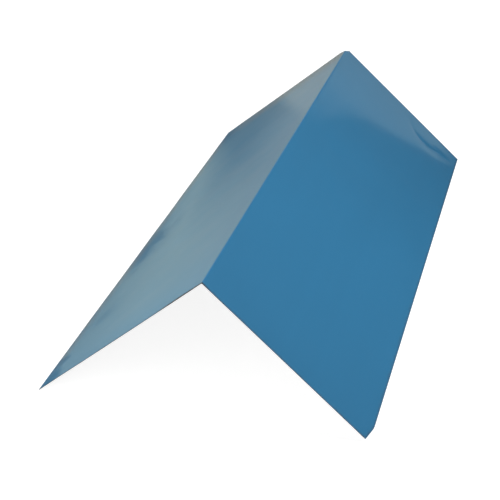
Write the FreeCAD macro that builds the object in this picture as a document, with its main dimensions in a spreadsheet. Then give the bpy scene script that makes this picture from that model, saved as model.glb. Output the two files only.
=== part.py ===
import FreeCAD, Part

import math
import os

import Sketcher

# Roof ridge cap: one piece of painted steel sheet, cut square and folded once along its middle.
# It stands as it would on a level floor, on the two long free edges, with the fold uppermost.
# X runs across the cap, Y along the fold and Z up. The origin is the middle of its foot.

doc = FreeCAD.newDocument("ridge_cap")

# Driving dimensions, in millimetres and degrees
SIZES = {
    "cap_length": 1000.0,      # along the fold
    "wing_width": 300.0,       # one wing's outer face, from the sharp corner of the fold to the free edge
    "fold_angle": 98.0,        # between the two wings
    "sheet_thickness": 0.5,    # steel and paint together
    "bend_radius": 1.0,        # inside the fold
    "snip_along": 35.0,        # clipped corner, along the free edge
    "snip_across": 7.5,        # clipped corner, along the cut end
}

sheet = doc.addObject("Spreadsheet::Sheet", "Sizes")
for row, (alias, value) in enumerate(SIZES.items(), start=1):
    sheet.set(f"A{row}", alias)
    sheet.set(f"B{row}", str(value))
    sheet.setAlias(f"B{row}", alias)
doc.recompute()


def origin_plane(body, role):
    """One of the body's own origin planes, by its role."""
    return next(plane for plane in body.Origin.OriginFeatures if plane.Role == role)


def bind(sketch, constraint, name, cell):
    """Adds a constraint under a name and ties its value to a cell of the sheet."""
    index = sketch.addConstraint(constraint)
    sketch.renameConstraint(index, name)
    sketch.setExpression(f"Constraints.{name}", f"Sizes.{cell}")


def draw_section(sketch):
    """The folded sheet cut across: two wings joined by a bend, standing on the horizontal axis."""
    wing = sheet.wing_width
    thickness = sheet.sheet_thickness
    inner_radius = sheet.bend_radius
    half_fold = math.radians(sheet.fold_angle / 2)

    # Right-hand half: down_slope runs along the wing and out_of_face stands square on its outer face.
    down_slope = FreeCAD.Vector(math.sin(half_fold), -math.cos(half_fold), 0)
    out_of_face = FreeCAD.Vector(math.cos(half_fold), math.sin(half_fold), 0)
    apex = FreeCAD.Vector(0, wing * math.cos(half_fold) + thickness * math.sin(half_fold), 0)
    bend_centre = apex - FreeCAD.Vector(0, (inner_radius + thickness) / math.sin(half_fold), 0)
    outer_corner = apex + down_slope * wing
    inner_corner = outer_corner - out_of_face * thickness
    outer_tangent = bend_centre + out_of_face * (inner_radius + thickness)
    inner_tangent = bend_centre + out_of_face * inner_radius

    def mirrored(point):
        return FreeCAD.Vector(-point.x, point.y, 0)

    def line(start, end):
        return sketch.addGeometry(Part.LineSegment(start, end), False)

    def bend_arc(radius):
        circle = Part.Circle(bend_centre, FreeCAD.Vector(0, 0, 1), radius)
        return sketch.addGeometry(Part.ArcOfCircle(circle, half_fold, math.pi - half_fold), False)

    right_edge = line(inner_corner, outer_corner)
    right_outer = line(outer_corner, outer_tangent)
    outer_bend = bend_arc(inner_radius + thickness)
    left_outer = line(mirrored(outer_tangent), mirrored(outer_corner))
    left_edge = line(mirrored(outer_corner), mirrored(inner_corner))
    left_inner = line(mirrored(inner_corner), mirrored(inner_tangent))
    inner_bend = bend_arc(inner_radius)
    right_inner = line(inner_tangent, inner_corner)
    sharp_corner = sketch.addGeometry(Part.Point(apex), True)

    start, end, centre = 1, 2, 3
    x_axis, z_axis = -1, -2
    shape_rules = [
        # the outline closes at the free edges and runs smoothly through the bend
        ("Coincident", right_edge, end, right_outer, start),
        ("Coincident", left_outer, end, left_edge, start),
        ("Coincident", left_edge, end, left_inner, start),
        ("Coincident", right_inner, end, right_edge, start),
        ("Tangent", right_outer, end, outer_bend, start),
        ("Tangent", outer_bend, end, left_outer, start),
        ("Tangent", left_inner, end, inner_bend, end),
        ("Tangent", inner_bend, start, right_inner, start),
        # one thickness all round, cut square
        ("Coincident", outer_bend, centre, inner_bend, centre),
        ("Parallel", right_outer, right_inner),
        ("Perpendicular", right_edge, right_outer),
        # both wings alike, standing on their lower corners
        ("Symmetric", right_edge, start, left_edge, end, z_axis),
        ("Symmetric", right_edge, end, left_edge, start, z_axis),
        ("PointOnObject", inner_bend, centre, z_axis),
        ("PointOnObject", right_edge, start, x_axis),
        # the sharp corner from which a wing is measured
        ("PointOnObject", sharp_corner, start, z_axis),
        ("PointOnObject", sharp_corner, start, right_outer),
    ]
    for rule in shape_rules:
        sketch.addConstraint(Sketcher.Constraint(*rule))

    angle = Sketcher.Constraint("Angle", left_outer, start, right_outer, end, 2 * half_fold)
    width = Sketcher.Constraint("Distance", sharp_corner, start, right_outer, start, wing)
    bind(sketch, angle, "fold_angle", "fold_angle")
    bind(sketch, width, "wing_width", "wing_width")
    bind(sketch, Sketcher.Constraint("Distance", right_edge, thickness), "thickness", "sheet_thickness")
    bind(sketch, Sketcher.Constraint("Radius", inner_bend, inner_radius), "bend_radius", "bend_radius")


def fold_sheet(body):
    """The whole folded sheet: its section drawn out along the fold, half to each side of the origin."""
    section = body.newObject("Sketcher::SketchObject", "Section")
    section.AttachmentSupport = (origin_plane(body, "XZ_Plane"), [""])
    section.MapMode = "FlatFace"
    draw_section(section)
    folded = body.newObject("PartDesign::Pad", "FoldedSheet")
    folded.Profile = section
    folded.SideType = "Symmetric"
    folded.setExpression("Length", "Sizes.cap_length")
    doc.recompute()
    return folded


def snip_corner(body, folded):
    """Clips the right wing's corner at the front end, square through the sheet."""
    edges = folded.Shape.Edges
    through_sheet = [i for i, edge in enumerate(edges) if math.isclose(edge.Length, sheet.sheet_thickness)]
    corner = max(through_sheet, key=lambda i: edges[i].CenterOfMass.x - edges[i].CenterOfMass.y)
    snip = body.newObject("PartDesign::Chamfer", "CornerSnip")
    snip.Base = (folded, [f"Edge{corner + 1}"])
    snip.ChamferType = "Two distances"
    snip.setExpression("Size", "Sizes.snip_along")
    snip.setExpression("Size2", "Sizes.snip_across")
    doc.recompute()
    return snip


cap = doc.addObject("PartDesign::Body", "RidgeCapSheet")
cap.Label = "ridge_cap_sheet"
cap.Placement = FreeCAD.Placement()
snip_corner(cap, fold_sheet(cap))
doc.recompute()

# Nothing is written unless every feature worked and the sheet is one sound solid.
failed = [item.Label for item in doc.Objects if {"Invalid", "Error"} & set(item.State)]
if failed:
    raise RuntimeError(f"these did not build: {failed}")
sub_parts = [cap]
for part in sub_parts:
    if part.Shape.isNull() or not part.Shape.isValid() or len(part.Shape.Solids) != 1:
        raise RuntimeError(f"{part.Label} is not one sound solid")

os.makedirs("parts", exist_ok=True)
for part in sub_parts:
    part.Shape.exportStep(f"parts/{part.Label}.step")
    box = part.Shape.BoundBox
    print(f"{part.Label}: {box.XLength:.2f} x {box.YLength:.2f} x {box.ZLength:.2f} mm, {part.Shape.Volume:.0f} mm3")
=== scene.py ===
import math

import bpy
from mathutils import Matrix, Vector


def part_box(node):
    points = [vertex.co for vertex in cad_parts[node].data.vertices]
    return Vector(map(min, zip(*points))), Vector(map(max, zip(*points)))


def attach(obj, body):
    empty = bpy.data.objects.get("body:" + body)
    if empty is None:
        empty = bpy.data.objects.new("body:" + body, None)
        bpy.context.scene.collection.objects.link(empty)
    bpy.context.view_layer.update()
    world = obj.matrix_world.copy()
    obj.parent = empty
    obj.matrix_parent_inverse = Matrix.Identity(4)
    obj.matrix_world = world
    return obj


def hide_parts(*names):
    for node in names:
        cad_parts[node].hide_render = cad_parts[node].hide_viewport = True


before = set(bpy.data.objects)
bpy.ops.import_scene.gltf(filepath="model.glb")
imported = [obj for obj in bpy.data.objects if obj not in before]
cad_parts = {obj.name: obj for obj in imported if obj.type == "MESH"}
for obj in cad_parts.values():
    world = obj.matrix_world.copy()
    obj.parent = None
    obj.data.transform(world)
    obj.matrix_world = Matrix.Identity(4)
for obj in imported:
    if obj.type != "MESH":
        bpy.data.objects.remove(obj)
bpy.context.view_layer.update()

# Folded sheet
# The whole cap is one sheet of coil-coated steel, about half a millimetre thick, cut square and
# folded once along its middle on a press brake. It is blue on the weather side, pale grey below.

SHEET_NODE = "ridge_cap_sheet"
SHEET_THICKNESS = 0.0005
INSIDE_RADIUS = 0.0010
BEND_RADIUS = INSIDE_RADIUS + SHEET_THICKNESS
FOLD_ANGLE = math.radians(98.0)
HALF_FOLD = FOLD_ANGLE / 2
BEND_TURN = math.pi / 2 - HALF_FOLD
SNIP_ALONG = 0.035
SNIP_ACROSS = 0.0075

sheet_low, sheet_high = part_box(SHEET_NODE)
cap_length = sheet_high.y - sheet_low.y
wing_width = sheet_high.x / math.sin(HALF_FOLD)
bend_set_back = BEND_RADIUS * math.tan(BEND_TURN)
flat_width = wing_width - bend_set_back
bend_centre_height = sheet_high.z - BEND_RADIUS


def add_node(tree, kind, inputs=None, **settings):
    """A node with its settings, and its inputs set to plain values or linked to other nodes' outputs."""
    made = tree.nodes.new(kind)
    for name, value in settings.items():
        setattr(made, name, value)
    for key, value in (inputs or {}).items():
        if isinstance(value, bpy.types.NodeSocket):
            tree.links.new(value, made.inputs[key])
        else:
            made.inputs[key].default_value = value
    return made


def calc(tree, operation, *values):
    """The output of one Math node."""
    return add_node(tree, "ShaderNodeMath", dict(enumerate(values)), operation=operation).outputs[0]


def ramp(tree, value, start, end, low=0.0, high=1.0, smooth=False):
    """Value taken from start..end to low..high, and held there beyond them."""
    kind = "SMOOTHSTEP" if smooth else "LINEAR"
    inputs = {"Value": value, "From Min": start, "From Max": end, "To Min": low, "To Max": high}
    return add_node(tree, "ShaderNodeMapRange", inputs, interpolation_type=kind).outputs[0]


NOISE_LOW = 0.3
NOISE_HIGH = 0.7


def noise(tree, place, scale, detail=2.0):
    """Cloudy noise, mostly from NOISE_LOW to NOISE_HIGH."""
    inputs = {"Vector": place, "Scale": scale, "Detail": detail}
    return add_node(tree, "ShaderNodeTexNoise", inputs).outputs["Fac"]


def spread(tree, cloud, low, high):
    """Noise taken from its usual run to low..high."""
    return ramp(tree, cloud, NOISE_LOW, NOISE_HIGH, low, high)


def reach(tree, first, second, centre, radii):
    """How far a place is from the centre of an oval, as a share of the oval's radii."""
    a = calc(tree, "DIVIDE", calc(tree, "SUBTRACT", first, centre[0]), radii[0])
    b = calc(tree, "DIVIDE", calc(tree, "SUBTRACT", second, centre[1]), radii[1])
    return calc(tree, "SQRT", calc(tree, "MULTIPLY_ADD", a, a, calc(tree, "MULTIPLY", b, b)))


def mixed(tree, share, first, second, blend="MIX"):
    """The first colour, with the second laid over it by a share."""
    inputs = {0: share, 6: first, 7: second}
    return add_node(tree, "ShaderNodeMix", inputs, data_type="RGBA", blend_type=blend).outputs[2]


def split_axes(tree, place):
    """The X, Y and Z of a place."""
    return add_node(tree, "ShaderNodeSeparateXYZ", {0: place}).outputs


def new_material(name):
    """A node material with its Principled shader, and the Object coordinates to paint it by."""
    made = bpy.data.materials.new(name)
    made.use_nodes = True
    tree = made.node_tree
    place = add_node(tree, "ShaderNodeTexCoord").outputs["Object"]
    return made, tree, tree.nodes["Principled BSDF"], place


def add_bump(tree, shader, height, strength, distance):
    """Fine relief on the shader's Normal."""
    inputs = {"Height": height, "Strength": strength, "Distance": distance}
    bump = add_node(tree, "ShaderNodeBump", inputs)
    tree.links.new(bump.outputs["Normal"], shader.inputs["Normal"])


def new_shader_group(name, inputs, outputs):
    """An empty shader group that takes a place and the named numbers, and gives the named values."""
    group = bpy.data.node_groups.new(name, "ShaderNodeTree")
    sockets = group.interface
    sockets.new_socket("Vector", in_out="INPUT", socket_type="NodeSocketVector")
    for socket in inputs:
        sockets.new_socket(socket, in_out="INPUT", socket_type="NodeSocketFloat")
    for socket in outputs:
        sockets.new_socket(socket, in_out="OUTPUT", socket_type="NodeSocketFloat")
    return group, add_node(group, "NodeGroupInput").outputs


def use_group(tree, group, place, **numbers):
    """The outputs of a shader group, laid on by its own numbers."""
    inputs = {"Vector": place} | {name.replace("_", " ").title(): value for name, value in numbers.items()}
    return add_node(tree, "ShaderNodeGroup", inputs, node_tree=group).outputs


STREAK_SCALE = 55.0
STREAK_SQUEEZE = 0.03


def make_coating_group():
    """Rolled-on film, as on both faces: uneven tone, streaks along the coil, and fine orange peel."""
    numbers = ("Mottle Scale", "Mottle Depth", "Streak Depth", "Peel Scale")
    group, given = new_shader_group("roller_coating", numbers, ("Shade", "Cloud", "Peel"))
    cloud = noise(group, given["Vector"], given["Mottle Scale"], detail=3.0)
    squeezed = {"Vector": given["Vector"], "Scale": (1.0, STREAK_SQUEEZE, 1.0)}
    streak = noise(group, add_node(group, "ShaderNodeMapping", squeezed).outputs[0], STREAK_SCALE)
    mottling = calc(group, "MULTIPLY", spread(group, cloud, -1.0, 1.0), given["Mottle Depth"])
    streaking = calc(group, "MULTIPLY", spread(group, streak, -1.0, 1.0), given["Streak Depth"])
    shade = calc(group, "ADD", calc(group, "ADD", mottling, streaking), 1.0)
    peel = noise(group, given["Vector"], given["Peel Scale"])
    add_node(group, "NodeGroupOutput", {"Shade": shade, "Cloud": cloud, "Peel": peel})
    return group


RAGGED_SCALE = 70.0
RAGGED_RUN = (0.6, 1.4)


def make_wear_group():
    """Wear along the cut edges, as on both faces: ragged, full at the cut, and gone within the reach."""
    group, given = new_shader_group("cut_edge_wear", ("Reach",), ("Wear",))
    axes = split_axes(group, given["Vector"])
    right_slope = calc(group, "DIVIDE", axes["X"], math.sin(HALF_FOLD))
    to_free_edge = calc(group, "SUBTRACT", wing_width, calc(group, "ABSOLUTE", right_slope))
    to_end = calc(group, "SUBTRACT", cap_length / 2, calc(group, "ABSOLUTE", axes["Y"]))
    across_snip = calc(group, "DIVIDE", calc(group, "SUBTRACT", wing_width, right_slope), SNIP_ACROSS)
    along_snip = calc(group, "DIVIDE", calc(group, "ADD", axes["Y"], cap_length / 2), SNIP_ALONG)
    past_snip = calc(group, "SUBTRACT", calc(group, "ADD", across_snip, along_snip), 1.0)
    to_snip = calc(group, "DIVIDE", past_snip, math.hypot(1.0 / SNIP_ACROSS, 1.0 / SNIP_ALONG))
    nearest = calc(group, "MINIMUM", calc(group, "MINIMUM", to_free_edge, to_end), to_snip)
    raggedness = spread(group, noise(group, given["Vector"], RAGGED_SCALE, detail=4.0), *RAGGED_RUN)
    ragged_reach = calc(group, "MULTIPLY", raggedness, given["Reach"])
    wear = ramp(group, nearest, 0.0, ragged_reach, 1.0, 0.0, smooth=True)
    add_node(group, "NodeGroupOutput", {"Wear": wear})
    return group


coating = make_coating_group()
cut_edge_wear = make_wear_group()

# Finish of the weather side: blue paint under a clear gloss, dulled and darkened in places on the left wing
# as painted shade
SKY_BLUE = (0.028, 0.180, 0.350, 1.0)
WORN_AND_SHADED_BLUE = (0.042, 0.120, 0.205, 1.0)
PAINT_ROUGHNESS = (0.50, 0.60)
PAINT_SPECULAR = 0.15
GLOSS = (0.432, 0.468)
GLOSS_ROUGHNESS = 0.07
GLOSS_IOR = 1.5
WEAR_FADING = 0.8
WEAR_DULLING = 0.7
WEAR_ROUGHENING = 0.15
SHADE_PATCH_FADING = 0.5
# Painted shade: dark, dull patches along the left wing's free edge, where the shadow under the lifted edge
# shows in the gloss
EDGE_SHADE_PATCHES = (
    # slope and place along the left wing, half width, half length, share of the gloss that is gone, even core
    (0.295, -0.070, 0.085, 0.150, 0.87, 0.15),
    (0.300, 0.050, 0.038, 0.085, 0.55, 0.2),
    (0.290, -0.225, 0.028, 0.028, 0.25, 0.0),
    (0.252, -0.325, 0.032, 0.045, 0.32, 0.0),
    (0.300, -0.495, 0.038, 0.105, 0.97, 0.55),
    (0.285, 0.455, 0.040, 0.060, 0.70, 0.2),
    (0.170, -0.520, 0.200, 0.100, 0.14, 0.0),
)
BLOTCH_SCALE = 38.0
BLOTCH_SHARE = 0.22

# Painted shadow: a dark brown line on the near cut, beside the fold, where the shaded inside of the cap shows
# at the edge
NEAR_CUT_SHADOW_BROWN = (0.030, 0.026, 0.022, 1.0)
NEAR_CUT_SHADOW_CENTRE = (0.034, -0.500)
NEAR_CUT_SHADOW_RADII = (0.060, 0.0065)
NEAR_CUT_SHADOW_CORE = 0.5
NEAR_CUT_SHADOW_SHARE = 0.92

# A pale grey-brown layer along the left wing's free edge and over its far end, thinner towards the corners,
# which greys the blue and dulls its gloss
PALE_LAYER = (0.230, 0.216, 0.185, 1.0)
EDGE_LAYER = 0.42
EDGE_LAYER_REACH = 0.028
EDGE_LAYER_STRAY = 0.02
EDGE_LAYER_DULLING = (1.5, 0.4)
EDGE_LAYER_DULLING_ALONG = (0.05, 0.25)
END_LAYER = 0.50
END_LAYER_REACH = 0.090
END_LAYER_STRAY = 0.05
END_LAYER_DULLING = 0.6
NEAR_CORNER = (-0.47, -0.40)
FAR_CORNER = (0.38, 0.45)
FAR_CORNER_SHARE = 0.5
FREE_CORNER = (0.22, 0.29)
FREE_CORNER_SHARE = 0.3
FOLD_CLEARANCE = 0.01
LAYER_UNEVENNESS = 1.8


def pale_layer(tree, left_slope, along, blotch):
    """The pale layer on the left wing, and the share of the gloss that it takes."""
    to_free_edge = calc(tree, "SUBTRACT", wing_width, left_slope)
    to_free_edge = calc(tree, "MULTIPLY_ADD", blotch, EDGE_LAYER_STRAY, to_free_edge)
    off_near_corner = ramp(tree, along, *NEAR_CORNER)
    off_far_corner = ramp(tree, along, *FAR_CORNER, 1.0, FAR_CORNER_SHARE)
    off_corners = calc(tree, "MULTIPLY", off_near_corner, off_far_corner)
    by_free_edge = ramp(tree, to_free_edge, 0.0, EDGE_LAYER_REACH, EDGE_LAYER, 0.0, smooth=True)
    by_free_edge = calc(tree, "MULTIPLY", by_free_edge, off_corners)

    to_far_end = calc(tree, "SUBTRACT", cap_length / 2, along)
    to_far_end = calc(tree, "MULTIPLY_ADD", blotch, END_LAYER_STRAY, to_far_end)
    off_fold = ramp(tree, left_slope, 0.0, FOLD_CLEARANCE)
    off_free_corner = ramp(tree, left_slope, *FREE_CORNER, 1.0, FREE_CORNER_SHARE)
    on_left_wing = calc(tree, "MULTIPLY", off_fold, off_free_corner)
    by_far_end = ramp(tree, to_far_end, 0.0, END_LAYER_REACH, END_LAYER, 0.0, smooth=True)
    by_far_end = calc(tree, "MULTIPLY", by_far_end, on_left_wing)

    unevenness = calc(tree, "MULTIPLY_ADD", blotch, LAYER_UNEVENNESS, 1.0)
    layer_share = calc(tree, "MULTIPLY", calc(tree, "MAXIMUM", by_free_edge, by_far_end), unevenness)
    edge_dulling = ramp(tree, along, *EDGE_LAYER_DULLING_ALONG, *EDGE_LAYER_DULLING)
    lost_at_edge = calc(tree, "MULTIPLY", by_free_edge, edge_dulling)
    lost_at_end = calc(tree, "MULTIPLY", by_far_end, END_LAYER_DULLING)
    return layer_share, calc(tree, "MAXIMUM", lost_at_edge, lost_at_end)


def make_top_coat():
    """The weather side's paint and gloss, with wear, a pale layer, and painted shade: dark dull patches and a
    brown line at the near cut.
    """
    material, tree, shader, place = new_material("blue_top_coat")
    film = use_group(tree, coating, place, mottle_scale=9.0, mottle_depth=0.02, streak_depth=0.008,
                     peel_scale=420.0)
    wear = use_group(tree, cut_edge_wear, place, reach=0.0055)["Wear"]
    axes = split_axes(tree, place)
    along = axes["Y"]
    left_slope = calc(tree, "DIVIDE", axes["X"], -math.sin(HALF_FOLD))

    blotch = spread(tree, noise(tree, place, BLOTCH_SCALE, detail=3.0), -BLOTCH_SHARE, BLOTCH_SHARE)
    worn_or_shaded = calc(tree, "MULTIPLY", wear, WEAR_DULLING)
    # Painted shade: the dark, dull patches along the left free edge
    for slope, spot, half_width, half_length, loss, core in EDGE_SHADE_PATCHES:
        from_spot = reach(tree, left_slope, along, (slope, spot), (half_width, half_length))
        patch = calc(tree, "ADD", from_spot, blotch)
        worn_or_shaded = calc(tree, "MAXIMUM", worn_or_shaded, ramp(tree, patch, core, 1.0, loss, 0.0, smooth=True))

    paint = mixed(tree, 1.0, SKY_BLUE, film["Shade"], "MULTIPLY")
    faded_by_wear = calc(tree, "MULTIPLY", wear, WEAR_FADING)
    faded_by_shade_patches = calc(tree, "MULTIPLY", worn_or_shaded, SHADE_PATCH_FADING)
    worn_and_shaded_paint = mixed(tree, calc(tree, "MAXIMUM", faded_by_wear, faded_by_shade_patches), paint, WORN_AND_SHADED_BLUE)
    # Painted shadow: the brown line on the near cut beside the fold
    from_near_cut_shadow = reach(tree, left_slope, along, NEAR_CUT_SHADOW_CENTRE, NEAR_CUT_SHADOW_RADII)
    near_cut_shadow = ramp(tree, from_near_cut_shadow, NEAR_CUT_SHADOW_CORE, 1.0, NEAR_CUT_SHADOW_SHARE, 0.0, smooth=True)
    with_near_cut_shadow = mixed(tree, near_cut_shadow, worn_and_shaded_paint, NEAR_CUT_SHADOW_BROWN)
    layer_share, lost_gloss = pale_layer(tree, left_slope, along, blotch)
    tree.links.new(mixed(tree, layer_share, with_near_cut_shadow, PALE_LAYER), shader.inputs["Base Color"])

    dulled = calc(tree, "MAXIMUM", calc(tree, "MAXIMUM", worn_or_shaded, lost_gloss), near_cut_shadow)
    kept = calc(tree, "SUBTRACT", 1.0, dulled)
    gloss = calc(tree, "MULTIPLY", kept, spread(tree, film["Cloud"], *GLOSS))
    tree.links.new(gloss, shader.inputs["Coat Weight"])
    paint_roughness = spread(tree, film["Cloud"], *PAINT_ROUGHNESS)
    roughness = calc(tree, "MULTIPLY_ADD", wear, WEAR_ROUGHENING, paint_roughness)
    tree.links.new(roughness, shader.inputs["Roughness"])
    add_bump(tree, shader, film["Peel"], strength=0.02, distance=0.0005)
    shader.inputs["Specular IOR Level"].default_value = PAINT_SPECULAR
    shader.inputs["Coat Roughness"].default_value = GLOSS_ROUGHNESS
    shader.inputs["Coat IOR"].default_value = GLOSS_IOR
    return material


# Finish of the underside
BACK_GREY = (0.62, 0.63, 0.62, 1.0)
BARE_ZINC = (0.42, 0.43, 0.44, 1.0)
BACK_ROUGHNESS = (0.52, 0.68)
ZINC_METALLIC = 0.8


def make_back_coat():
    """Thin grey backing coat, worn to the zinc along the cuts."""
    material, tree, shader, place = new_material("grey_back_coat")
    film = use_group(tree, coating, place, mottle_scale=14.0, mottle_depth=0.05, streak_depth=0.04,
                     peel_scale=300.0)
    wear = use_group(tree, cut_edge_wear, place, reach=0.006)["Wear"]
    paint = mixed(tree, 1.0, BACK_GREY, film["Shade"], "MULTIPLY")
    tree.links.new(mixed(tree, wear, paint, BARE_ZINC), shader.inputs["Base Color"])
    tree.links.new(calc(tree, "MULTIPLY", wear, ZINC_METALLIC), shader.inputs["Metallic"])
    tree.links.new(spread(tree, film["Cloud"], *BACK_ROUGHNESS), shader.inputs["Roughness"])
    add_bump(tree, shader, film["Peel"], strength=0.05, distance=0.0005)
    return material


# Bare metal along the cuts
CUT_STEEL = (0.30, 0.30, 0.31, 1.0)
CUT_RUST = (0.070, 0.048, 0.036, 1.0)
CUT_ROUGHNESS = (0.35, 0.6)
RUST_ONSET = (0.42, 0.62)
RUST_ROUGHENING = 0.25
RUST_METALLIC = 0.3


def make_cut_edge():
    """Sheared steel with a fine burr, rusted in places."""
    material, tree, shader, place = new_material("cut_steel_edge")
    rust = ramp(tree, noise(tree, place, scale=24.0, detail=4.0), *RUST_ONSET, smooth=True)
    burr = noise(tree, place, scale=180.0, detail=3.0)
    tree.links.new(mixed(tree, rust, CUT_STEEL, CUT_RUST), shader.inputs["Base Color"])
    tree.links.new(ramp(tree, rust, 0.0, 1.0, 1.0, RUST_METALLIC), shader.inputs["Metallic"])
    roughness = calc(tree, "MULTIPLY_ADD", rust, RUST_ROUGHENING, spread(tree, burr, *CUT_ROUGHNESS))
    tree.links.new(roughness, shader.inputs["Roughness"])
    add_bump(tree, shader, burr, strength=0.3, distance=0.0002)
    return material


top_coat = make_top_coat()
back_coat = make_back_coat()
cut_edge = make_cut_edge()

# Divisions of the sheet, with finer rows over the last of its length
BEND_COLUMNS = 8
WING_COLUMNS = 110
COARSE_ROWS = 105
FINE_ROWS = 65
FINE_LENGTH = 0.15
WELD_DISTANCE = 1e-5
SHARP_ANGLE = math.radians(35.0)

# Half-moon kink in the right wing's far corner: an arc that is open towards the far end, and a
# straight tail towards the corner. It dies away before the far end and the free edge.
KINK_CENTRE = (0.2215, 0.4760)
KINK_RADIUS = 0.0436
KINK_TAIL = (0.257, 0.4480)
KINK_TAIL_RISE = 0.30
KINK_TAIL_START = 0.24
KINK_TAIL_ONSET = 4.0
KINK_DEPTH = 0.0006
KINK_NEAR_REACH = 0.008
KINK_FAR_REACH = 0.016
KINK_FAR_END = (0.455, 0.495)
KINK_FREE_EDGE = (0.262, 0.294)

# Slight waves that the sheet took up in handling, and the knock on the far end of the fold
WAVE_SCALE = 4.5
WAVE_HEIGHT = 0.0003
WAVES_FADE_FROM = 0.24
EDGE_WAVE_SCALE = 9.0
EDGE_WAVE_HEIGHT = 0.0005
EDGE_WAVES_FROM = 0.2
KNOCK_LENGTH = 0.014
KNOCK_DROP = 0.0058
KNOCK_TILT = 0.30
KNOCK_CLEARANCE = 0.0004


def kink_height(tree, slope, along):
    """A crease along the kink's arc and tail, which falls off on both sides."""
    from_centre = reach(tree, slope, along, KINK_CENTRE, (KINK_RADIUS, KINK_RADIUS))
    inside_arc = calc(tree, "MULTIPLY_ADD", from_centre, -KINK_RADIUS, KINK_RADIUS)
    before_tail = calc(tree, "MAXIMUM", calc(tree, "SUBTRACT", KINK_TAIL_START, slope), 0.0)
    tail_at_fold = KINK_TAIL[1] - KINK_TAIL_RISE * KINK_TAIL[0]
    tail_line = calc(tree, "MULTIPLY_ADD", slope, KINK_TAIL_RISE, tail_at_fold)
    past_line = calc(tree, "SUBTRACT", along, tail_line)
    past_tail = calc(tree, "MULTIPLY_ADD", before_tail, -KINK_TAIL_ONSET, past_line)
    inside = calc(tree, "MAXIMUM", inside_arc, past_tail)
    near_fall = calc(tree, "MULTIPLY", inside, -1.0 / KINK_NEAR_REACH)
    far_fall = calc(tree, "MULTIPLY", inside, 1.0 / KINK_FAR_REACH)
    fall = calc(tree, "MAXIMUM", near_fall, far_fall)
    crease = calc(tree, "EXPONENT", calc(tree, "MULTIPLY", fall, -1.0))
    off_far_end = ramp(tree, along, *KINK_FAR_END, 1.0, 0.0, smooth=True)
    off_free_edge = ramp(tree, slope, *KINK_FREE_EDGE, 1.0, 0.0, smooth=True)
    kept = calc(tree, "MULTIPLY", off_far_end, off_free_edge)
    return calc(tree, "MULTIPLY", calc(tree, "MULTIPLY", crease, kept), -KINK_DEPTH)


def wave_height(tree, flat_place, slope):
    """Broad shallow waves over both wings, and shorter ones along the left wing's free edge."""
    broad = noise(tree, flat_place, WAVE_SCALE, detail=1.0)
    swell = calc(tree, "MULTIPLY_ADD", broad, 2.0 * WAVE_HEIGHT, -WAVE_HEIGHT)
    either_slope = calc(tree, "ABSOLUTE", slope)
    off_free_edges = ramp(tree, either_slope, WAVES_FADE_FROM, flat_width, 1.0, 0.0, smooth=True)
    short = noise(tree, flat_place, EDGE_WAVE_SCALE, detail=0.0)
    by_left_edge = ramp(tree, slope, -wing_width, -EDGE_WAVES_FROM, 1.0, 0.0, smooth=True)
    edge = calc(tree, "MULTIPLY", short, by_left_edge)
    return calc(tree, "MULTIPLY_ADD", edge, EDGE_WAVE_HEIGHT, calc(tree, "MULTIPLY", swell, off_free_edges))


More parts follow.
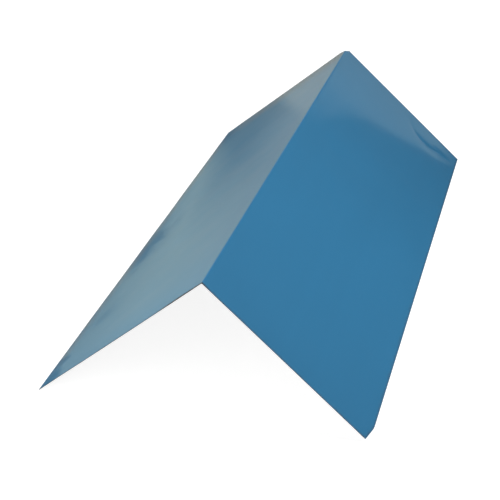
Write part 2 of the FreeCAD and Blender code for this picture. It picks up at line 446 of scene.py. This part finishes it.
def make_sheet_tree(size_names):
    """Geometry nodes: a flat grid, folded over the bend, with its clipped corner, dents and thickness."""
    tree = bpy.data.node_groups.new("folded_sheet", "GeometryNodeTree")
    tree.interface.new_socket("Geometry", in_out="OUTPUT", socket_type="NodeSocketGeometry")
    for name in size_names:
        tree.interface.new_socket(name, in_out="INPUT", socket_type="NodeSocketFloat")
    size = add_node(tree, "NodeGroupInput").outputs

    # Flat grid: its first axis runs across the sheet, and its second along it
    columns = 2 * WING_COLUMNS + BEND_COLUMNS
    rows = COARSE_ROWS + FINE_ROWS
    divisions = {"Size X": 2.0, "Size Y": 1.0, "Vertices X": columns + 1, "Vertices Y": rows + 1}
    grid = add_node(tree, "GeometryNodeMeshGrid", divisions).outputs["Mesh"]
    where = split_axes(tree, add_node(tree, "GeometryNodeInputPosition").outputs[0])
    across = where["X"]
    row = where["Y"]
    near_end = calc(tree, "MULTIPLY", size["Length"], -0.5)
    far_end = calc(tree, "MULTIPLY", size["Length"], 0.5)
    fine_start = calc(tree, "SUBTRACT", far_end, FINE_LENGTH)
    join = COARSE_ROWS / rows - 0.5
    coarse_run = ramp(tree, row, -0.5, join, near_end, fine_start)
    fine_run = ramp(tree, row, join, 0.5, 0.0, FINE_LENGTH)
    along = calc(tree, "ADD", coarse_run, fine_run)

    # Fold: columns near the middle turn round the bend, the others run straight on down their wing
    bend_share = BEND_COLUMNS / columns
    minus_turn = calc(tree, "MULTIPLY", size["Bend Turn"], -1.0)
    minus_flat = calc(tree, "MULTIPLY", size["Flat Width"], -1.0)
    turn = ramp(tree, across, -bend_share, bend_share, minus_turn, size["Bend Turn"])
    right_run = ramp(tree, across, bend_share, 1.0, 0.0, size["Flat Width"])
    left_run = ramp(tree, across, -1.0, -bend_share, minus_flat, 0.0)

    # Clipped corner: the right wing draws in a little over its first rows
    snip_end = calc(tree, "ADD", near_end, SNIP_ALONG)
    snipped = ramp(tree, along, near_end, snip_end, 1.0 - SNIP_ACROSS / flat_width, 1.0)
    down = calc(tree, "MULTIPLY_ADD", right_run, snipped, left_run)

    # Dents and waves lift the sheet a little square to its face
    flat_place = add_node(tree, "ShaderNodeCombineXYZ", {"X": down, "Y": along}).outputs[0]
    kink = kink_height(tree, calc(tree, "ADD", down, bend_set_back), along)
    lift = calc(tree, "ADD", kink, wave_height(tree, flat_place, down))
    radius = calc(tree, "ADD", size["Bend Radius"], lift)
    sine = calc(tree, "SINE", turn)
    cosine = calc(tree, "COSINE", turn)
    x = calc(tree, "MULTIPLY_ADD", down, cosine, calc(tree, "MULTIPLY", radius, sine))
    drop = calc(tree, "MULTIPLY", down, sine)
    z = calc(tree, "SUBTRACT", calc(tree, "MULTIPLY_ADD", radius, cosine, bend_centre_height), drop)

    # Knock: the last of the fold is pressed flat
    knock_start = calc(tree, "SUBTRACT", far_end, KNOCK_LENGTH)
    fold_top = calc(tree, "ADD", size["Bend Radius"], bend_centre_height + KNOCK_CLEARANCE)
    pressed_top = calc(tree, "MULTIPLY_ADD", x, KNOCK_TILT, calc(tree, "SUBTRACT", fold_top, KNOCK_DROP))
    z = calc(tree, "MINIMUM", z, ramp(tree, along, knock_start, far_end, fold_top, pressed_top))

    folded_place = add_node(tree, "ShaderNodeCombineXYZ", {"X": x, "Y": along, "Z": z}).outputs[0]
    face = add_node(tree, "GeometryNodeSetPosition", {"Geometry": grid, "Position": folded_place}).outputs[0]
    outward = add_node(tree, "ShaderNodeCombineXYZ", {"X": sine, "Z": cosine}).outputs[0]
    weather_face = add_node(tree, "GeometryNodeCaptureAttribute", {"Geometry": face}, domain="POINT")
    weather_face.capture_items.new("VECTOR", "Outward")
    tree.links.new(outward, weather_face.inputs["Outward"])

    # Thickness: a copy of the weather face is pushed in behind it, with the cut edges between
    thickness_inward = calc(tree, "MULTIPLY", size["Thickness"], -1.0)
    scaling = {0: weather_face.outputs["Outward"], "Scale": thickness_inward}
    inward = add_node(tree, "ShaderNodeVectorMath", scaling, operation="SCALE").outputs[0]
    weather_mesh = weather_face.outputs["Geometry"]
    pushing = {"Mesh": weather_mesh, "Offset": inward, "Offset Scale": 1.0, "Individual": False}
    pushed = add_node(tree, "GeometryNodeExtrudeMesh", pushing, mode="FACES")
    behind = add_node(tree, "GeometryNodeFlipFaces", {"Mesh": pushed.outputs["Mesh"]})
    whole = add_node(tree, "GeometryNodeJoinGeometry")
    tree.links.new(behind.outputs[0], whole.inputs[0])
    tree.links.new(weather_mesh, whole.inputs[0])
    welding = {"Geometry": whole.outputs[0], "Distance": WELD_DISTANCE}
    welded = add_node(tree, "GeometryNodeMergeByDistance", welding)
    smooth = add_node(tree, "GeometryNodeSetShadeSmooth", {"Geometry": welded.outputs[0]})
    real = add_node(tree, "GeometryNodeRealizeInstances", {"Geometry": smooth.outputs[0]})

    finished = real.outputs[0]
    finishes = ((top_coat, True), (back_coat, pushed.outputs["Top"]), (cut_edge, pushed.outputs["Side"]))
    for finish, faces in finishes:
        inputs = {"Geometry": finished, "Selection": faces, "Material": finish}
        finished = add_node(tree, "GeometryNodeSetMaterial", inputs).outputs[0]
    add_node(tree, "NodeGroupOutput", {"Geometry": finished})
    return tree


def place_object(name, data):
    """A new object in the scene, at the origin."""
    made = bpy.data.objects.new(name, data)
    bpy.context.scene.collection.objects.link(made)
    return made


def plain_mesh(name, tree, sizes):
    """The mesh that a geometry node tree gives at these sizes, on a new object."""
    maker = place_object(name, bpy.data.meshes.new(name + "_blank"))
    nodes = maker.modifiers.new("nodes", "NODES")
    nodes.node_group = tree
    for socket in tree.interface.items_tree:
        if socket.in_out == "INPUT":
            nodes[socket.identifier] = sizes[socket.name]
    depsgraph = bpy.context.evaluated_depsgraph_get()
    mesh = bpy.data.meshes.new_from_object(maker.evaluated_get(depsgraph), depsgraph=depsgraph)
    maker.modifiers.remove(nodes)
    # The grid brings an empty material slot of its own
    mesh.materials.pop(index=0)
    maker.data = mesh
    mesh.name = name
    return maker


sheet_sizes = {
    "Length": cap_length,
    "Flat Width": flat_width,
    "Bend Radius": BEND_RADIUS,
    "Bend Turn": BEND_TURN,
    "Thickness": SHEET_THICKNESS,
}
sheet = plain_mesh("folded_sheet", make_sheet_tree(sheet_sizes), sheet_sizes)
sheet.data.set_sharp_from_angle(angle=SHARP_ANGLE)
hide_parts(SHEET_NODE)
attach(sheet, "root")

# Stage
# A plain pale floor, three soft lamps, and white boards that only the paint shows. The floor is
# white to the camera, and in the paint it is a pale floor with a shaded place beyond the far end.

WHITE = (1.0, 1.0, 1.0, 1.0)
FLOOR_SIZE = 12.0
FLOOR_GREY = (0.80, 0.80, 0.80, 1.0)
PAPER_GREY = (0.30, 0.30, 0.30, 1.0)
PAPER_NEAR_CAP = 0.88
PAPER_OVAL = (0.45, 0.75)
PAPER_OVAL_EDGE = (0.9, 1.4)
FLOOR_IN_PAINT = (0.84, 0.94, 0.705, 1.0)
FAR_FLOOR_IN_PAINT = (0.97, 0.94, 0.710, 1.0)
PLAIN_FLOOR_IN_PAINT = (0.55, 0.55, 0.55, 1.0)
FAR_TINT_ALONG = (0.2, 1.4)
PLAIN_TINT_ACROSS = (-0.23, -0.20)

# Runs of the floor's tone in the paint, from a first place to a last, with the values at both.
# The shade lies on the near side of a line that goes off to the left and away.
CONTACT_TONE = (0.24, 0.353, 0.727, 1.0)
TONE_ALONG = (0.035, 1.256, 1.0, 0.819)
SHADE_LINE_START = 0.304
SHADE_LINE_RISE = 2.164
SHADE_SOFTNESS = (0.25, 0.36, 0.396, 0.055)
SHADE_FULL_TO = (0.25, 0.34, 0.320, 0.376)
SHADE_GONE_AT = (0.25, 0.34, 0.506, 0.851)
SHADE_DEPTH = (0.33, 0.53, 0.676, 0.187)
SHADE_DEPTH_LOST = (0.25, 0.33, 0.085, 0.0)


def floor_tone_in_paint(tree, x, y):
    """The floor's tone in mirrored rays: shaded close to the left wing and in a place beyond its far end."""
    left = calc(tree, "MULTIPLY", x, -1.0)
    open_tone = calc(tree, "MULTIPLY", ramp(tree, left, *CONTACT_TONE), ramp(tree, y, *TONE_ALONG))
    shade_line = calc(tree, "MULTIPLY_ADD", left, SHADE_LINE_RISE, SHADE_LINE_START)
    into_shade = calc(tree, "SUBTRACT", shade_line, y)
    softened = calc(tree, "DIVIDE", into_shade, ramp(tree, left, *SHADE_SOFTNESS))
    far_side = ramp(tree, softened, -1.0, 1.0, smooth=True)
    full_to = ramp(tree, left, *SHADE_FULL_TO)
    gone_at = ramp(tree, left, *SHADE_GONE_AT)
    near_side = ramp(tree, into_shade, full_to, gone_at, 1.0, 0.0)
    depth = calc(tree, "SUBTRACT", ramp(tree, left, *SHADE_DEPTH), ramp(tree, left, *SHADE_DEPTH_LOST))
    shade = calc(tree, "MULTIPLY", calc(tree, "MULTIPLY", far_side, near_side), depth)
    return calc(tree, "MULTIPLY", open_tone, calc(tree, "SUBTRACT", 1.0, shade))


def stage_material(name):
    """A material with no nodes in it yet."""
    made = bpy.data.materials.new(name)
    made.use_nodes = True
    made.node_tree.nodes.clear()
    return made, made.node_tree


def make_floor():
    """White paper to the camera, a pale floor to the light, and a toned one in the paint."""
    half = FLOOR_SIZE / 2
    corners = [(-half, -half, 0.0), (half, -half, 0.0), (half, half, 0.0), (-half, half, 0.0)]
    mesh = bpy.data.meshes.new("floor")
    mesh.from_pydata(corners, [], [(0, 1, 2, 3)])
    floor = place_object("floor", mesh)
    material, tree = stage_material("floor_paper")
    axes = split_axes(tree, add_node(tree, "ShaderNodeTexCoord").outputs["Object"])
    rays = add_node(tree, "ShaderNodeLightPath").outputs

    lit = add_node(tree, "ShaderNodeBsdfDiffuse", {"Color": FLOOR_GREY}).outputs[0]
    tint = mixed(tree, ramp(tree, axes["Y"], *FAR_TINT_ALONG), FLOOR_IN_PAINT, FAR_FLOOR_IN_PAINT)
    tint = mixed(tree, ramp(tree, axes["X"], *PLAIN_TINT_ACROSS), tint, PLAIN_FLOOR_IN_PAINT)
    tone = floor_tone_in_paint(tree, axes["X"], axes["Y"])
    mirrored = add_node(tree, "ShaderNodeEmission", {"Color": tint, "Strength": tone}).outputs[0]
    pale = add_node(tree, "ShaderNodeBsdfDiffuse", {"Color": PAPER_GREY}).outputs[0]
    away = reach(tree, axes["X"], axes["Y"], (0.0, 0.0), PAPER_OVAL)
    whiteness = ramp(tree, away, *PAPER_OVAL_EDGE, PAPER_NEAR_CAP, 1.0, smooth=True)
    glow = add_node(tree, "ShaderNodeEmission", {"Color": WHITE, "Strength": whiteness}).outputs[0]
    paper = add_node(tree, "ShaderNodeAddShader", {0: pale, 1: glow}).outputs[0]

    mirror = calc(tree, "MAXIMUM", rays["Is Glossy Ray"], rays["Is Transmission Ray"])
    unseen = add_node(tree, "ShaderNodeMixShader", {0: mirror, 1: lit, 2: mirrored}).outputs[0]
    mix = add_node(tree, "ShaderNodeMixShader", {0: rays["Is Camera Ray"], 1: unseen, 2: paper}).outputs[0]
    add_node(tree, "ShaderNodeOutputMaterial", {"Surface": mix})
    mesh.materials.append(material)


make_floor()

ROOM_LIGHT = 0.05


def make_room():
    """Dim even light from all round, which the camera sees as white."""
    world = bpy.data.worlds.new("studio")
    bpy.context.scene.world = world
    world.use_nodes = True
    tree = world.node_tree
    seen = add_node(tree, "ShaderNodeLightPath").outputs["Is Camera Ray"]
    background = tree.nodes["Background"]
    background.inputs["Color"].default_value = WHITE
    tree.links.new(ramp(tree, seen, 0.0, 1.0, ROOM_LIGHT, 1.0), background.inputs["Strength"])


make_room()

SOFTBOX_PEAK = 1.78
SOFTBOX_MIDDLE = 0.5
SOFTBOX_FADE = (0.25, 0.5)


def add_softbox(name, place, aim, side, power, mirrored=True):
    """A square lamp that is brightest in its middle and fades out to its edges."""
    lamp = bpy.data.lights.new(name, "AREA")
    lamp.shape = "SQUARE"
    lamp.size = side
    lamp.energy = power
    lamp.use_nodes = True
    tree = lamp.node_tree
    spot = split_axes(tree, add_node(tree, "ShaderNodeNewGeometry").outputs["Parametric"])
    fades = []
    for axis in "XY":
        from_middle = calc(tree, "ABSOLUTE", calc(tree, "SUBTRACT", spot[axis], SOFTBOX_MIDDLE))
        fades.append(ramp(tree, from_middle, *SOFTBOX_FADE, 1.0, 0.0, smooth=True))
    strength = calc(tree, "MULTIPLY", calc(tree, "MULTIPLY", *fades), SOFTBOX_PEAK)
    tree.links.new(strength, tree.nodes["Emission"].inputs["Strength"])
    softbox = place_object(name, lamp)
    softbox.location = place
    softbox.rotation_euler = (Vector(aim) - Vector(place)).to_track_quat("-Z", "Y").to_euler()
    softbox.visible_camera = False
    softbox.visible_glossy = mirrored


add_softbox("right_softbox", place=(0.95, -0.14, 1.13), aim=(0.1, -0.1, 0.1), side=0.8, power=16.2)
add_softbox("left_softbox", place=(-0.83, 0.18, 1.2), aim=(-0.83, 0.18, 0.0), side=1.0, power=13.4)
add_softbox("near_fill", place=(-0.20, -0.87, 0.3), aim=(-0.12, -0.5, 0.1), side=0.6, power=2.4,
            mirrored=False)

BOARD_WHITE = (0.94, 1.07, 0.99, 1.0)


def add_board(name, rows, glows, strength):
    """A white board through rows of points, each point with its own glow. It shows only in the paint."""
    mesh = bpy.data.meshes.new(name)
    count = len(rows[0])
    faces = [(r + i, r + i + 1, r + count + i + 1, r + count + i)
             for r in range(0, count * (len(rows) - 1), count) for i in range(count - 1)]
    mesh.from_pydata([point for row in rows for point in row], [], faces)
    glow = mesh.attributes.new("glow", "FLOAT", "POINT")
    glow.data.foreach_set("value", [level for row in glows for level in row])
    board = place_object(name, mesh)
    material, tree = stage_material(name)
    level = add_node(tree, "ShaderNodeAttribute", attribute_name="glow").outputs["Fac"]
    shining = {"Color": BOARD_WHITE, "Strength": calc(tree, "MULTIPLY", level, strength)}
    light = add_node(tree, "ShaderNodeEmission", shining)
    add_node(tree, "ShaderNodeOutputMaterial", {"Surface": light.outputs[0]})
    mesh.materials.append(material)
    board.visible_camera = False
    board.visible_diffuse = False
    board.visible_shadow = False


# Upright board beyond the right wing's far end. Its slanting edge, and the line where its glow is
# full, are given by X and Z from the top down. Left of that line the glow goes on unchanged.
SLANT_BOARD_Y = 1.25
SLANT_BOARD_WIDTH = 0.25
SLANT_BOARD_STRENGTH = 0.73
SLANT_BOARD_EDGE = (
    (0.410, 0.520), (0.425, 0.469), (0.411, 0.391), (0.407, 0.356), (0.406, 0.324),
    (0.436, 0.282), (0.487, 0.194), (0.515, 0.150), (0.541, 0.110), (0.572, 0.059),
)
SLANT_BOARD_FULL = (
    (0.260, 0.405), (0.305, 0.388), (0.352, 0.354), (0.373, 0.336), (0.399, 0.320),
    (0.430, 0.278), (0.482, 0.191), (0.510, 0.148), (0.536, 0.108), (0.567, 0.057),
)
SLANT_BOARD_GLOW = (1.0, 1.0, 1.0, 1.0, 1.0, 1.0, 1.05, 1.15, 0.25, 0.0)
SLANT_BOARD_DARK = (0.0,) * len(SLANT_BOARD_GLOW)

edge_row = [(x, SLANT_BOARD_Y, z) for x, z in SLANT_BOARD_EDGE]
full_row = [(x, SLANT_BOARD_Y, z) for x, z in SLANT_BOARD_FULL]
back_row = [(x - SLANT_BOARD_WIDTH, SLANT_BOARD_Y, z) for x, z in SLANT_BOARD_FULL]
slant_glows = [SLANT_BOARD_DARK, SLANT_BOARD_GLOW, SLANT_BOARD_GLOW]
add_board("slanting_board", [edge_row, full_row, back_row], slant_glows, SLANT_BOARD_STRENGTH)

# Plain board farther off beyond the far end, mostly to the left
FAR_BOARD_Y = 3.0
FAR_BOARD_SIDES = (-2.5, 0.55)
FAR_BOARD_TOP = 1.7
FAR_BOARD_STRENGTH = 0.4

far_rows = [[(x, FAR_BOARD_Y, z) for x in FAR_BOARD_SIDES] for z in (FAR_BOARD_TOP, 0.0)]
add_board("far_board", far_rows, [(1.0, 1.0), (1.0, 1.0)], FAR_BOARD_STRENGTH)

# Camera
# At the photograph's viewing angle: about two metres in front of the cap, to its right and above it.

CAMERA_AZIMUTH = math.radians(13.3227)
CAMERA_ELEVATION = math.radians(26.0717)
CAMERA_ROLL = math.radians(-1.6657)
CAMERA_PLACE = (0.41642, -2.00020, 1.00665)
SENSOR_WIDTH = 36.0
PHOTO_SIDE = 500.0
FOCAL_PIXELS = 1396.6


def add_camera():
    """The camera, turned by its azimuth, elevation and roll."""
    back = Vector((math.sin(CAMERA_AZIMUTH) * math.cos(CAMERA_ELEVATION),
                   -math.cos(CAMERA_AZIMUTH) * math.cos(CAMERA_ELEVATION), math.sin(CAMERA_ELEVATION)))
    level = Vector((math.cos(CAMERA_AZIMUTH), math.sin(CAMERA_AZIMUTH), 0.0))
    up = back.cross(level)
    right = math.cos(CAMERA_ROLL) * level - math.sin(CAMERA_ROLL) * up
    data = bpy.data.cameras.new("camera")
    data.sensor_width = SENSOR_WIDTH
    data.lens = SENSOR_WIDTH * FOCAL_PIXELS / PHOTO_SIDE
    camera = place_object("camera", data)
    turn = Matrix((right, back.cross(right), back)).transposed().to_4x4()
    camera.matrix_world = Matrix.Translation(CAMERA_PLACE) @ turn
    bpy.context.scene.camera = camera


add_camera()
bpy.context.scene.view_settings.view_transform = "Standard"
